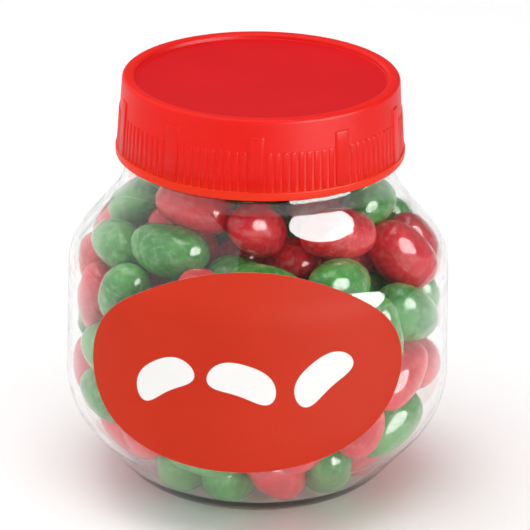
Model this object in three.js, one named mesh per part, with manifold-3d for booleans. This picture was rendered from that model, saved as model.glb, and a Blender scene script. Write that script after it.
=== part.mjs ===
// A round clear jar of red and green jelly beans, with a red screw cap and an oval paper label.
// Millimetres, +Z up, standing on z = 0 with its axis on the Z axis. The label faces -Y.

import * as THREE from 'three';
import { mergeVertices } from 'three/addons/utils/BufferGeometryUtils.js';
import Module from 'manifold-3d';

const wasm = await Module();
wasm.setup();

// ---------------------------------------------------------------- driving dimensions

const SEAT_RADIUS = 15.2;          // inner edge of the flat ring that the jar stands on
const FOOT_RADIUS = 23.5;          // where the floor line and the flared lower wall would meet
const BELLY_RADIUS = 37.95;        // where the flare and the belly would meet
const BELLY_BOTTOM = 16.7;
const BELLY_TOP = 48.1;
const BELLY_DRAFT = 0.7;           // the belly is this much narrower at its top
const NECK_RADIUS = 26.2;
const NECK_CORNER = 61.7;          // height where the shoulder line meets the neck
const FINISH_BOTTOM = 66.4;        // above this the neck steps in to go under the cap
const FINISH_RADIUS = 25.0;
const MOUTH_HEIGHT = 80.8;
const WALL = 0.8;
const FLOOR_HEIGHT = 1.8;          // inside of the floor
const PUSH_UP = 0.8;               // hollow under the floor, inside the seat

const FOOT_ROUND = 12.5;           // outside rounding radii of the jar's corners
const BELLY_ROUND = 18;
const SHOULDER_ROUND = 9;
const NECK_ROUND = 7;

const CAP_BOTTOM = 67.6;
const CAP_TOP = 83.2;
const CAP_RIM_RADIUS = 26.8;       // skirt radius just under the top edge
const CAP_SKIRT_RADIUS = 27.7;     // skirt radius just above the bottom bead
const CAP_BEAD_RADIUS = 28.1;
const CAP_BEAD_HEIGHT = 1.6;
const CAP_WALL = 1.2;
const CAP_RIM_WIDTH = 2.3;
const CAP_RECESS = 1.0;            // the disc lies this far below the rim
const CAP_DISC = 1.0;
const GRIP_SECTORS = 10;           // one smooth pad and a run of fine ribs in each
const GRIP_RIBS = 9;
const PAD_ANGLE = 7;               // degrees
const GRIP_DEPTH = 0.3;
const GRIP_ROOT = 0.03;            // the ribs' roots lie this far outside the skirt
const PAD_DROP = 3.2;              // pad tops lie this far below the rim
const RIB_DROP = 6.2;
const PAD_TURN = -1.6;             // azimuth of the pad nearest the front, degrees

const LABEL_LENGTH = 69;           // along the curve
const LABEL_HEIGHT = 39.3;
const LABEL_TURN = -4.9;           // azimuth of the label's middle, degrees
const LABEL_MIDDLE = 35.1;         // height of the label's middle
const LABEL_TILT = 3;              // stuck on a little crooked, degrees
const LABEL_DROOP = 1.1;           // the two ends hang this far below the line through the middle
const LABEL_THICKNESS = 0.2;
const LABEL_GAP = 0.1;

const BEAN_COUNT = 148;
const BEAN_REACH = 3.5;            // middle of a bean to the middle of each end
const BEAN_WAIST = 5.1;            // radius in the middle
const BEAN_TIP = 4.6;              // radius of the ends
const BEAN_BEND = 0.55;            // how far the middle stands off the line between the ends
const BEAN_ARCH = 0.66;            // and how far the shell's middle does
const BEAN_FLATNESS = 0.96;        // thickness in the plane of the bend, next to the width
const BEAN_SWELL = 1.02;           // makes up for the flats of a bean with few sides
const BEAN_FULLNESS = 0.8;         // below 1, the ends are blunter than an egg's
const BEAN_SPREAD = 0.12;          // the largest is this much larger than the smallest
const BEAN_CLEARANCE = 0.5;        // from the plastic
const BALL_RADII = [BEAN_TIP, BEAN_WAIST, BEAN_TIP];
const FILL_HEIGHT = 66;
const SHOWN_DEPTH = 8.1;           // beans whose middle is nearer the wall than this are shown
const SHOWN_HEIGHT = 60;           // as are those above this height
const CORE_DEPTH = 7.2;            // the core lies this far inside the wall
const CORE_TOP = 60;

const PACK_SEED = 41;
const PACK_STEPS = 1000;
const PACK_NEAR = 18;              // beans whose middles are nearer than this may touch
const PACK_REFRESH = 8;            // steps between two searches for near beans
const START_SIZE = 0.62;
const GROWN_AT = 0.55;             // share of the steps after which the beans have their full size
const CALM_AT = 0.6;               // after which they sink more slowly
const CALM_EASE = 0.2;
const STILL_AT = 0.8;              // after which they only push each other
const LOOSE_AT = 0.9;              // and after which the placed ones are let go
const SINK = 0.1;                  // how far a loose bean sinks at each step
const DRIFT = 0.08;                // and how far it moves outwards
const DRIFT_FROM = 18;             // if it is farther from the axis than this
const HELD_WEIGHT = 0.02;          // how easily a placed bean is pushed, next to a loose one
const HELD_PULL = 0.3;             // share of the way back to its place that it moves at each step

const WALL_STEPS = 3;              // flats in each rounded corner of the jar
const JAR_SEGMENTS = 32;
const CAP_SEGMENTS = 40;
const CORE_SEGMENTS = 12;
const BEAN_SIDES = 7;
const BEAN_RINGS = 5;

// ---------------------------------------------------------------- outlines

function radians(degrees) {
  return degrees * Math.PI / 180;
}

// Rounds the inner corners of an outline of [radius, height] points, each by its own radius.
function roundCorners(corners, radii, steps) {
  const outline = [corners[0]];
  for (let i = 1; i < corners.length - 1; i += 1) {
    const corner = new THREE.Vector2(...corners[i]);
    const back = new THREE.Vector2(...corners[i - 1]).sub(corner).normalize();
    const ahead = new THREE.Vector2(...corners[i + 1]).sub(corner).normalize();
    const half = Math.acos(back.dot(ahead)) / 2;
    const radius = radii[i - 1];
    const reach = radius / Math.tan(half);
    const start = corner.clone().addScaledVector(back, reach);
    const end = corner.clone().addScaledVector(ahead, reach);
    const middle = back.clone().add(ahead).setLength(radius / Math.sin(half)).add(corner);
    const from = Math.atan2(start.y - middle.y, start.x - middle.x);
    let turn = Math.atan2(end.y - middle.y, end.x - middle.x) - from;
    turn -= 2 * Math.PI * Math.round(turn / (2 * Math.PI));
    for (let k = 0; k <= steps; k += 1) {
      const angle = from + turn * k / steps;
      outline.push([middle.x + radius * Math.cos(angle), middle.y + radius * Math.sin(angle)]);
    }
  }
  outline.push(corners[corners.length - 1]);
  return outline;
}

// Moves an outline that runs upwards towards the axis (or away from it, for a negative distance).
function moveInwards(corners, distance) {
  const normals = [];
  for (let i = 0; i < corners.length - 1; i += 1) {
    const start = new THREE.Vector2(...corners[i]);
    const along = new THREE.Vector2(...corners[i + 1]).sub(start).normalize();
    normals.push(new THREE.Vector2(-along.y, along.x));
  }
  return corners.map(([radius, height], i) => {
    const before = normals[Math.max(i - 1, 0)];
    const after = normals[Math.min(i, normals.length - 1)];
    const both = before.clone().add(after);
    both.multiplyScalar(distance / (1 + before.dot(after)));
    return [radius + both.x, height + both.y];
  });
}

const wallCorners = [
  [SEAT_RADIUS, 0],
  [FOOT_RADIUS, 0],
  [BELLY_RADIUS, BELLY_BOTTOM],
  [BELLY_RADIUS - BELLY_DRAFT, BELLY_TOP],
  [NECK_RADIUS, NECK_CORNER],
  [NECK_RADIUS, FINISH_BOTTOM],
];
const wallRounds = [FOOT_ROUND, BELLY_ROUND, SHOULDER_ROUND, NECK_ROUND];
const insideRounds = [FOOT_ROUND - WALL, BELLY_ROUND - WALL, SHOULDER_ROUND - WALL, NECK_ROUND + WALL];

// The floor is thicker than the wall, so the inside starts where the flared wall reaches it.
function insideCorners() {
  const moved = moveInwards(wallCorners, WALL);
  const slope = (moved[2][0] - moved[1][0]) / (moved[2][1] - moved[1][1]);
  const foot = [moved[1][0] + slope * (FLOOR_HEIGHT - moved[1][1]), FLOOR_HEIGHT];
  return [[0, FLOOR_HEIGHT], foot, moved[2], moved[3], moved[4], [moved[5][0], FINISH_BOTTOM]];
}

// ---------------------------------------------------------------- solids

// Turns a closed geometry into a solid: its vertices are merged and its flat triangles dropped.
function toSolid(geometry) {
  geometry.deleteAttribute('normal');
  geometry.deleteAttribute('uv');
  const merged = mergeVertices(geometry, 1e-4);
  const kept = [];
  for (let i = 0; i < merged.index.count; i += 3) {
    const [a, b, c] = [0, 1, 2].map((k) => merged.index.getX(i + k));
    if (a !== b && b !== c && c !== a) {
      kept.push(a, b, c);
    }
  }
  return new wasm.Manifold(new wasm.Mesh({
    numProp: 3,
    vertProperties: new Float32Array(merged.attributes.position.array),
    triVerts: new Uint32Array(kept),
  }));
}

function toGeometry(solid) {
  const mesh = solid.getMesh();
  const geometry = new THREE.BufferGeometry();
  geometry.setAttribute('position', new THREE.BufferAttribute(mesh.vertProperties, 3));
  geometry.setIndex(new THREE.BufferAttribute(mesh.triVerts, 1));
  geometry.computeVertexNormals();
  return geometry;
}

// A ring or a round body turned about the Z axis. Its outline runs with the material on its left.
function turned(outline, segments, turn = 0) {
  const points = outline.map(([radius, height]) => new THREE.Vector2(radius, height));
  const geometry = new THREE.LatheGeometry(points, segments, radians(turn));
  geometry.rotateX(Math.PI / 2);
  return toSolid(geometry);
}

function mapVertices(geometry, move) {
  const position = geometry.attributes.position;
  for (let i = 0; i < position.count; i += 1) {
    const [x, y, z] = move(position.getX(i), position.getY(i), position.getZ(i));
    position.setXYZ(i, x, y, z);
  }
  return geometry;
}

// ---------------------------------------------------------------- jar

// Blown and moulded PET in one piece: floor, flared wall, belly, shoulder and plain neck.
function makeJar() {
  const outside = roundCorners(wallCorners, wallRounds, WALL_STEPS);
  const inside = roundCorners(insideCorners(), insideRounds, 2);
  const finish = [
    [FINISH_RADIUS, FINISH_BOTTOM + NECK_RADIUS - FINISH_RADIUS],
    [FINISH_RADIUS, MOUTH_HEIGHT],
    [FINISH_RADIUS - WALL * 2, MOUTH_HEIGHT],
    [FINISH_RADIUS - WALL * 2, FINISH_BOTTOM + NECK_RADIUS - FINISH_RADIUS],
  ];
  const hollow = [[0, PUSH_UP], [SEAT_RADIUS - PUSH_UP, PUSH_UP]];
  return turned([...hollow, ...outside, ...finish, ...inside.reverse()], JAR_SEGMENTS);
}

// ---------------------------------------------------------------- cap

// A skirt with a bottom bead, a rounded rim and a sunken disc, hollow underneath.
function makeCapShell() {
  const rim = CAP_RIM_WIDTH;
  const disc = CAP_TOP - CAP_RECESS;
  const lip = 0.7;                 // rounding of the rim
  const corners = [
    [CAP_SKIRT_RADIUS - CAP_WALL, CAP_BOTTOM],
    [CAP_BEAD_RADIUS, CAP_BOTTOM],
    [CAP_BEAD_RADIUS, CAP_BOTTOM + CAP_BEAD_HEIGHT - 0.3],
    [CAP_SKIRT_RADIUS, CAP_BOTTOM + CAP_BEAD_HEIGHT],
    [CAP_RIM_RADIUS, CAP_TOP - lip],
    [CAP_RIM_RADIUS - lip * 0.3, CAP_TOP - lip * 0.3],
    [CAP_RIM_RADIUS - lip, CAP_TOP],
    [CAP_RIM_RADIUS - rim + lip * 0.5, CAP_TOP],
    [CAP_RIM_RADIUS - rim, disc],
    [0, disc],
  ];
  const under = [
    [0, disc - CAP_DISC],
    [CAP_RIM_RADIUS - CAP_WALL, disc - CAP_DISC],
  ];
  return turned([...corners, ...under, corners[0]], CAP_SEGMENTS);
}

function skirtRadius(height) {
  const share = (height - CAP_BOTTOM - CAP_BEAD_HEIGHT) / (CAP_TOP - CAP_BOTTOM - CAP_BEAD_HEIGHT);
  return CAP_SKIRT_RADIUS + (CAP_RIM_RADIUS - CAP_SKIRT_RADIUS) * share;
}

// Drawn upright at the rim's radius, the grips are then widened downwards to follow the skirt.
function followSkirt(geometry, bottom) {
  return toSolid(mapVertices(geometry, (x, y, z) => {
    const radius = Math.hypot(x, y);
    const scale = (radius + skirtRadius(bottom + z) - CAP_RIM_RADIUS) / radius;
    return [x * scale, y * scale, bottom + z];
  }));
}

function onSkirt(angle, depth) {
  const radius = CAP_RIM_RADIUS + depth;
  return new THREE.Vector2(radius * Math.sin(radians(angle)), -radius * Math.cos(radians(angle)));
}

// The fine ribs, as one toothed ring with a plain stretch behind each pad.
function makeRibs(bottom) {
  const teeth = [];
  const pitch = (360 / GRIP_SECTORS - PAD_ANGLE) / GRIP_RIBS;
  for (let i = 0; i < GRIP_SECTORS; i += 1) {
    const start = PAD_TURN + i * 360 / GRIP_SECTORS + PAD_ANGLE / 2;
    teeth.push(onSkirt(start, GRIP_ROOT));
    for (let k = 0; k < GRIP_RIBS; k += 1) {
      teeth.push(onSkirt(start + (k + 0.5) * pitch, GRIP_DEPTH));
      teeth.push(onSkirt(start + (k + 1) * pitch, GRIP_ROOT));
    }
  }
  const ring = new THREE.Shape(teeth);
  const bore = new THREE.Path();
  bore.absarc(0, 0, CAP_RIM_RADIUS - CAP_WALL / 2, 0, 2 * Math.PI);
  ring.holes.push(bore);
  const depth = CAP_TOP - RIB_DROP - bottom;
  return followSkirt(new THREE.ExtrudeGeometry(ring, { depth, bevelEnabled: false }), bottom);
}

// One smooth pad, a block sunk into the skirt.
function makePad(angle, bottom) {
  const half = PAD_ANGLE / 2;
  const sunk = -CAP_WALL / 2;
  const block = new THREE.Shape([
    onSkirt(angle - half, sunk),
    onSkirt(angle + half, sunk),
    onSkirt(angle + half - 0.4, GRIP_DEPTH),
    onSkirt(angle, GRIP_DEPTH),
    onSkirt(angle - half + 0.4, GRIP_DEPTH),
  ]);
  const depth = CAP_TOP - PAD_DROP - bottom;
  return followSkirt(new THREE.ExtrudeGeometry(block, { depth, bevelEnabled: false }), bottom);
}

function makeCap() {
  const bottom = CAP_BOTTOM + CAP_BEAD_HEIGHT / 2;
  let cap = makeCapShell().add(makeRibs(bottom));
  for (let i = 0; i < GRIP_SECTORS; i += 1) {
    cap = cap.add(makePad(PAD_TURN + i * 360 / GRIP_SECTORS, bottom));
  }
  return cap;
}

// ---------------------------------------------------------------- label

// A thin shell round the jar, with the jar's own flats, from which the label is cut.
function makeLabelShell() {
  const layer = (distance) => {
    const radii = wallRounds.map((radius) => radius + distance);
    radii[radii.length - 1] = NECK_ROUND - distance;
    return roundCorners(moveInwards(wallCorners, -distance), radii, WALL_STEPS).slice(1, -1);
  };
  const ring = [...layer(LABEL_GAP + LABEL_THICKNESS), ...layer(LABEL_GAP).reverse()];
  return turned([...ring, ring[0]], JAR_SEGMENTS);
}

// Radius of the jar's outside at a height.
function outsideRadius(height) {
  const outline = roundCorners(wallCorners, wallRounds, WALL_STEPS);
  const next = outline.findIndex((point) => point[1] > height);
  const [lowRadius, low] = outline[next - 1];
  const [highRadius, high] = outline[next];
  return lowRadius + (highRadius - lowRadius) * (height - low) / (high - low);
}

// An oval of paper stuck round the front of the belly and up on to the shoulder.
function makeLabel() {
  const block = new THREE.BoxGeometry(2, 2, 2, 16, 6, 1);
  const tilt = radians(LABEL_TILT);
  const cutter = toSolid(mapVertices(block, (x, y, z) => {
    const across = Math.sin(x * Math.PI / 2) * LABEL_LENGTH / 2;
    const droop = LABEL_DROOP * Math.sin(x * Math.PI / 2) ** 2;
    const up = Math.cos(x * Math.PI / 2) * y * LABEL_HEIGHT / 2 - droop;
    const azimuth = (across * Math.cos(tilt) - up * Math.sin(tilt)) / BELLY_RADIUS;
    const height = LABEL_MIDDLE + across * Math.sin(tilt) + up * Math.cos(tilt);
    const radius = outsideRadius(height) + z;
    return [radius * Math.sin(azimuth), -radius * Math.cos(azimuth), height];
  }));
  return makeLabelShell().intersect(cutter.rotate([0, 0, LABEL_TURN]));
}

// ---------------------------------------------------------------- jelly beans

// Beans placed at the front by hand, as [azimuth and height of the middle, lean in the wall's plane,
// tilt into the jar, size]. Angles are in degrees. Azimuth grows to the right.
const PLACED = [
  [-43, 52.5, 173, 8, 1.03], [-42.5, 61, 0, 13, 0.98], [-1, 59.5, 1, 63, 0.95],
  [-74.5, 49.5, -4, 10, 0.92], [-56, 42, -136, 8, 1.02], [-113, 47.5, -95, 9, 0.93],
  [-93, 55, 63, 10, 0.88], [-98.5, 41, -112, 9, 0.94], [-81, 37.5, -112, 8, 1.03],
  [-88.5, 21.5, -95, 9, 0.94], [-66, 21, 167, 9, 0.92], [-65.5, 13, 162, 8, 1],
  [-39, 8.5, -111, 9, 0.93], [-13.5, 7.5, 93, 9, 0.96], [10.5, 9.5, -80, 9, 0.94],
  [35, 10, -70, 8, 1], [58.5, 17, 14, 8, 1.03], [68.5, 9.5, -132, 9, 0.94],
  [87.5, 22.5, 156, 8, 1], [68.5, 37.5, 148, 8, 1.04], [96.5, 35.5, 155, 9, 0.92],
  [34, 48.5, -12, 24, 1.02], [41, 55, -20, 9, 1], [78, 48.5, -68, 8, 1.03],
  [101, 46, 126, 9, 0.94], [84.5, 58, 166, 11, 0.92], [120.5, 47.5, -101, 9, 0.9],
  [2, 48, 174, 11, 1],
];

// A repeatable run of numbers from 0 to 1.
function makeRandom(seed) {
  let state = seed;
  return () => {
    state = (state * 1664525 + 1013904223) % 4294967296;
    return state / 4294967296;
  };
}

function rounded(value) {
  return Math.floor(value * 1e5 + 0.5) / 1e5;
}

// The room for beans, as flat limits [radial, upward, reach] on (radius, height).
function roomLimits() {
  const outline = roundCorners(insideCorners().slice(0, 5), insideRounds.slice(0, 3), 4);
  return outline.slice(1).map(([radius, height], i) => {
    const [lastRadius, lastHeight] = outline[i];
    const length = Math.sqrt((radius - lastRadius) ** 2 + (height - lastHeight) ** 2);
    const radial = (height - lastHeight) / length;
    const upward = -(radius - lastRadius) / length;
    return [rounded(radial), rounded(upward), rounded(radial * radius + upward * height)];
  });
}

// A bean placed against the wall, as three balls along its length.
function placeBean(limits, [azimuth, height, lean, tilt, size]) {
  const off = BEAN_WAIST * size + BEAN_CLEARANCE;
  let radius = BELLY_RADIUS;
  let wall = limits[0];
  for (const limit of limits) {
    const [radial, upward, reach] = limit;
    if (radial > 0.01 && (reach - off - upward * height) / radial < radius) {
      radius = (reach - off - upward * height) / radial;
      wall = limit;
    }
  }
  const a = radians(azimuth);
  const out = new THREE.Vector3(Math.sin(a), -Math.cos(a), 0);
  const across = new THREE.Vector3(Math.cos(a), Math.sin(a), 0);
  const up = out.clone().multiplyScalar(-wall[1]).setZ(wall[0]);
  const inward = out.clone().multiplyScalar(-wall[0]).setZ(-wall[1]);
  const axis = across.multiplyScalar(Math.cos(radians(lean)));
  axis.addScaledVector(up, Math.sin(radians(lean)));
  axis.multiplyScalar(Math.cos(radians(tilt)));
  axis.addScaledVector(inward, Math.sin(radians(tilt)));
  const middle = out.multiplyScalar(radius).setZ(height);
  middle.addScaledVector(inward, Math.sin(radians(tilt)) * BEAN_REACH * size);
  return [-1, 0, 1].map((k) => {
    const ball = middle.clone().addScaledVector(axis, BEAN_REACH * size * k);
    ball.addScaledVector(inward, k === 0 ? -BEAN_BEND : 0);
    return ball.toArray().map(rounded);
  });
}

// A loose bean at a random place in the jar, lying any way round.
function dropBean(limits, random) {
  for (;;) {
    const x = (random() * 2 - 1) * BELLY_RADIUS;
    const y = (random() * 2 - 1) * BELLY_RADIUS;
    const z = random() * FILL_HEIGHT;
    const a = random() * 2 - 1;
    const b = random() * 2 - 1;
    const c = random() * 2 - 1;
    const length = Math.sqrt(a * a + b * b + c * c);
    const radius = Math.sqrt(x * x + y * y);
    const clear = limits.every((limit) => limit[0] * radius + limit[1] * z < limit[2] - BEAN_WAIST);
    if (clear && length > 0.2 && length < 1) {
      const scale = BEAN_REACH / length;
      return [
        [x - a * scale, y - b * scale, z - c * scale],
        [x, y, z + BEAN_BEND],
        [x + a * scale, y + b * scale, z + c * scale],
      ];
    }
  }
}

// Moves two balls apart or together to the given distance. The first takes this share of the move.
function setDistance(a, b, distance, share) {
  const dx = a[0] - b[0];
  const dy = a[1] - b[1];
  const dz = a[2] - b[2];
  const now = Math.sqrt(dx * dx + dy * dy + dz * dz);
  const scale = (distance - now) / now;
  const rest = 1 - share;
  a[0] += dx * scale * share;
  a[1] += dy * scale * share;
  a[2] += dz * scale * share;
  b[0] -= dx * scale * rest;
  b[1] -= dy * scale * rest;
  b[2] -= dz * scale * rest;
}

// The pairs of beans that lie near enough to touch.
function findPairs(beans) {
  const pairs = [];
  for (let i = 0; i < beans.length; i += 1) {
    for (let j = i + 1; j < beans.length; j += 1) {
      const a = beans[i].balls[1];
      const b = beans[j].balls[1];
      const square = (a[0] - b[0]) * (a[0] - b[0]) + (a[1] - b[1]) * (a[1] - b[1])
        + (a[2] - b[2]) * (a[2] - b[2]);
      if (square < PACK_NEAR * PACK_NEAR) {
        pairs.push([beans[i], beans[j]]);
      }
    }
  }
  return pairs;
}

// Pushes two beans apart where their balls overlap.
function separate(first, second, swell, holding) {
  const firstWeight = first.held && holding ? HELD_WEIGHT : 1;
  const secondWeight = second.held && holding ? HELD_WEIGHT : 1;
  const share = firstWeight / (firstWeight + secondWeight);
  for (let k = 0; k < 3; k += 1) {
    for (let m = 0; m < 3; m += 1) {
      const a = first.balls[k];
      const b = second.balls[m];
      const reach = (BALL_RADII[k] * first.size + BALL_RADII[m] * second.size) * swell;
      const square = (a[0] - b[0]) * (a[0] - b[0]) + (a[1] - b[1]) * (a[1] - b[1])
        + (a[2] - b[2]) * (a[2] - b[2]);
      if (square < reach * reach && square > 0) {
        setDistance(a, b, reach, share);
      }
    }
  }
}

// Moves a loose bean down and, off the middle of the jar, outwards.
function settle(bean, ease) {
  for (const ball of bean.balls) {
    const radius = Math.sqrt(ball[0] * ball[0] + ball[1] * ball[1]);
    const drift = radius > DRIFT_FROM ? DRIFT * ease / radius : 0;
    ball[0] += ball[0] * drift;
    ball[1] += ball[1] * drift;
    ball[2] -= SINK * ease;
  }
}

// Gives a bean its length and bend back.
function straighten({ balls, size }) {
  const side = Math.sqrt(BEAN_REACH * BEAN_REACH + BEAN_BEND * BEAN_BEND);
  setDistance(balls[0], balls[1], side * size, 0.5);
  setDistance(balls[1], balls[2], side * size, 0.5);
  setDistance(balls[0], balls[2], 2 * BEAN_REACH * size, 0.5);
}

// Brings a ball back inside the jar.
function confine(ball, radius, limits) {
  for (const [radial, upward, limit] of limits) {
    const fromAxis = Math.sqrt(ball[0] * ball[0] + ball[1] * ball[1]);
    const over = radial * fromAxis + upward * ball[2] - (limit - radius - BEAN_CLEARANCE);
    if (over > 0) {
      const scale = radial * over / Math.max(fromAxis, over);
      ball[0] -= ball[0] * scale;
      ball[1] -= ball[1] * scale;
      ball[2] -= upward * over;
    }
  }
  ball[2] = Math.min(ball[2], FILL_HEIGHT - radius);
}

// Fills the jar: the beans swell to full size, sink and spread a little at each step, and push
// each other and the wall until they lie clear. The placed ones are held near their places.
function packBeans() {
  const limits = roomLimits();
  const random = makeRandom(PACK_SEED);
  const beans = PLACED.map((row) => ({ balls: placeBean(limits, row), size: row[4], held: true }));
  while (beans.length < BEAN_COUNT) {
    const balls = dropBean(limits, random);
    beans.push({ balls, size: 1 + BEAN_SPREAD * (random() - 0.5), held: false });
  }
  for (const bean of beans) {
    bean.home = bean.balls.map((ball) => [...ball]);
  }
  let pairs = [];
  for (let step = 0; step < PACK_STEPS; step += 1) {
    const progress = step / PACK_STEPS;
    const swell = Math.min(1, START_SIZE + (1 - START_SIZE) * progress / GROWN_AT);
    const ease = progress < CALM_AT ? 1 : CALM_EASE;
    const moving = progress < STILL_AT;
    const holding = progress < LOOSE_AT;
    if (step % PACK_REFRESH === 0) {
      pairs = findPairs(beans);
    }
    for (const bean of beans) {
      if (moving && !bean.held) {
        settle(bean, ease);
      }
    }
    for (const [first, second] of pairs) {
      separate(first, second, swell, holding);
    }
    for (const bean of beans) {
      for (let k = 0; bean.held && holding && k < 3; k += 1) {
        for (let c = 0; c < 3; c += 1) {
          bean.balls[k][c] += HELD_PULL * (bean.home[k][c] - bean.balls[k][c]);
        }
      }
      straighten(bean);
      for (let k = 0; k < 3; k += 1) {
        confine(bean.balls[k], BALL_RADII[k] * bean.size * swell, limits);
      }
    }
  }
  return beans;
}

// A few-sided bean: a ball drawn out along its length, with full ends and a gentle bend.
function makeBean({ balls, size }) {
  const ends = balls.map((ball) => new THREE.Vector3(...ball));
  const axis = ends[2].clone().sub(ends[0]).normalize();
  const middle = ends[0].clone().add(ends[2]).multiplyScalar(0.5);
  const bend = ends[1].clone().sub(middle);
  bend.addScaledVector(axis, -bend.dot(axis)).normalize();
  const across = axis.clone().cross(bend);
  const half = (BEAN_REACH + BEAN_TIP) * size;
  const waist = BEAN_WAIST * BEAN_SWELL * size;
  const geometry = new THREE.SphereGeometry(1, BEAN_SIDES, BEAN_RINGS);
  mapVertices(geometry, (x, y, z) => {
    const ring = Math.sqrt(Math.max(1 - y * y, 0));
    const girth = ring < 1e-6 ? 0 : waist * ring ** (BEAN_FULLNESS - 1);
    const offset = BEAN_ARCH * (1 - y * y);
    const point = middle.clone().addScaledVector(axis, half * y);
    point.addScaledVector(bend, offset + girth * z * BEAN_FLATNESS);
    point.addScaledVector(across, girth * x);
    return point.toArray();
  });
  return toSolid(geometry);
}

// The beans that show, fused on a core that fills the middle of the jar.
function makeJellyBeans() {
  const limits = roomLimits();
  const inner = moveInwards(insideCorners().slice(0, 5), CORE_DEPTH);
  const [, foot, low, high] = inner;
  const topRadius = high[0] + (inner[4][0] - high[0]) * (CORE_TOP - high[1]) / (inner[4][1] - high[1]);
  const bottom = FLOOR_HEIGHT + CORE_DEPTH;
  let heap = turned([[0, bottom], foot, low, high, [topRadius, CORE_TOP], [0, CORE_TOP]], CORE_SEGMENTS);
  for (const bean of packBeans()) {
    const [x, y, z] = bean.balls[1];
    const radius = Math.sqrt(x * x + y * y);
    const depth = Math.min(...limits.map((limit) => limit[2] - limit[0] * radius - limit[1] * z));
    if (depth < SHOWN_DEPTH || z > SHOWN_HEIGHT) {
      heap = heap.add(makeBean(bean));
    }
  }
  return heap.decompose().reduce((best, piece) => (piece.volume() > best.volume() ? piece : best));
}

// ---------------------------------------------------------------- model

function named(name, solid, settings) {
  const mesh = new THREE.Mesh(toGeometry(solid), new THREE.MeshStandardMaterial(settings));
  mesh.name = name;
  return mesh;
}

const model = new THREE.Group();
const clear = { color: 0xeef2f2, roughness: 0.05, metalness: 0, transparent: true, opacity: 0.3 };
model.add(named('jar', makeJar(), clear));
model.add(named('cap', makeCap(), { color: 0xe8281f, roughness: 0.35, metalness: 0 }));
model.add(named('label', makeLabel(), { color: 0xdb432b, roughness: 0.45, metalness: 0 }));
model.add(named('jelly_beans', makeJellyBeans(), { color: 0x7a2a2c, roughness: 0.25, metalness: 0 }));

export default model;
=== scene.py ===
# A clear PET jar of red and green jelly beans, with a ribbed red screw cap and an oval paper label.
# Metres, +Z up. The jar stands on z = 0 with its axis on the Z axis, and the label faces -Y.
# Sizes of the real pieces are given in millimetres and turned into metres where a mesh is made.

import math

import bpy
from mathutils import Matrix, Vector


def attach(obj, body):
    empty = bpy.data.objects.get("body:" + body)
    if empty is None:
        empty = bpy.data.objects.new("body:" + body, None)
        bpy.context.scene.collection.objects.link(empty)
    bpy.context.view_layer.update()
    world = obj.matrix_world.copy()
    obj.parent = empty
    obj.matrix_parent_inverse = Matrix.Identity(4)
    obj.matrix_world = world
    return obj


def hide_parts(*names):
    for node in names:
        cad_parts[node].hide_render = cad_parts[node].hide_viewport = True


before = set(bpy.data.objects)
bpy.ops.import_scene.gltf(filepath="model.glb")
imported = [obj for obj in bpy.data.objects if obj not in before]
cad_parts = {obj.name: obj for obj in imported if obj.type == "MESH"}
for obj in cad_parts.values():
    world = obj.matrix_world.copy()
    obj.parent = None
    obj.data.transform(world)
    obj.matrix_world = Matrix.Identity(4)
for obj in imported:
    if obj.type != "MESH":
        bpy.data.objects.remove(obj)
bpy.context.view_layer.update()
scene = bpy.context.scene
MM = 0.001

# ---------------------------------------------------------------- camera
# A long lens, a little above the jar and turned by a hair, as a pack shot is taken. The shift
# puts the jar's middle left of and below the middle of the render.

IMAGE_SIZE = 530                      # pixels
AIM = Vector((0, 0, 40 * MM))
AIM_PIXEL = (258.21, 281.57)          # where the aim lies in the render, from its top left
CAMERA_DISTANCE = 0.702               # metres
CAMERA_ELEVATION = math.radians(22.28)
CAMERA_ROLL = math.radians(0.858)
FOCAL_PIXELS = 3561.1
SENSOR = 36.0                         # millimetres

camera = bpy.data.objects.new("camera", bpy.data.cameras.new("camera"))
scene.collection.objects.link(camera)
scene.camera = camera
camera.data.sensor_width = SENSOR
camera.data.lens = FOCAL_PIXELS / IMAGE_SIZE * SENSOR
camera.data.shift_x = (IMAGE_SIZE / 2 - AIM_PIXEL[0]) / IMAGE_SIZE
camera.data.shift_y = (AIM_PIXEL[1] - IMAGE_SIZE / 2) / IMAGE_SIZE
camera.data.clip_start = 0.01
camera_turn = Matrix.Rotation(math.pi / 2 - CAMERA_ELEVATION, 4, "X") @ Matrix.Rotation(CAMERA_ROLL, 4, "Z")
camera.matrix_world = Matrix.Translation(AIM) @ camera_turn @ Matrix.Translation((0, 0, CAMERA_DISTANCE))
scene.view_settings.view_transform = "Standard"

# ---------------------------------------------------------------- studio
# A pale floor and soft boxes: one overhead, a broad one on the left that hazes the plastic there, a
# low fill in front that isn't reflected, and a bright one on the right that only leaves reflections.


class Wire:
    """The output of a shader node. Sums of wires and numbers add Math nodes, and | is the larger."""

    def __init__(self, finish, socket):
        self.finish = finish
        self.socket = socket

    def math(self, operation, *values):
        return self.finish.node("Math", {"operation": operation}, dict(enumerate(values)))

    def __getitem__(self, name):
        return Wire(self.finish, self.socket.node.outputs[name])

    def __add__(self, other):
        return self.math("ADD", self, other)

    def __radd__(self, other):
        return self.math("ADD", other, self)

    def __sub__(self, other):
        return self.math("SUBTRACT", self, other)

    def __rsub__(self, other):
        return self.math("SUBTRACT", other, self)

    def __mul__(self, other):
        return self.math("MULTIPLY", self, other)

    def __rmul__(self, other):
        return self.math("MULTIPLY", other, self)

    def __truediv__(self, other):
        return self.math("DIVIDE", self, other)

    def __or__(self, other):
        return self.math("MAXIMUM", self, other)


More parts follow.
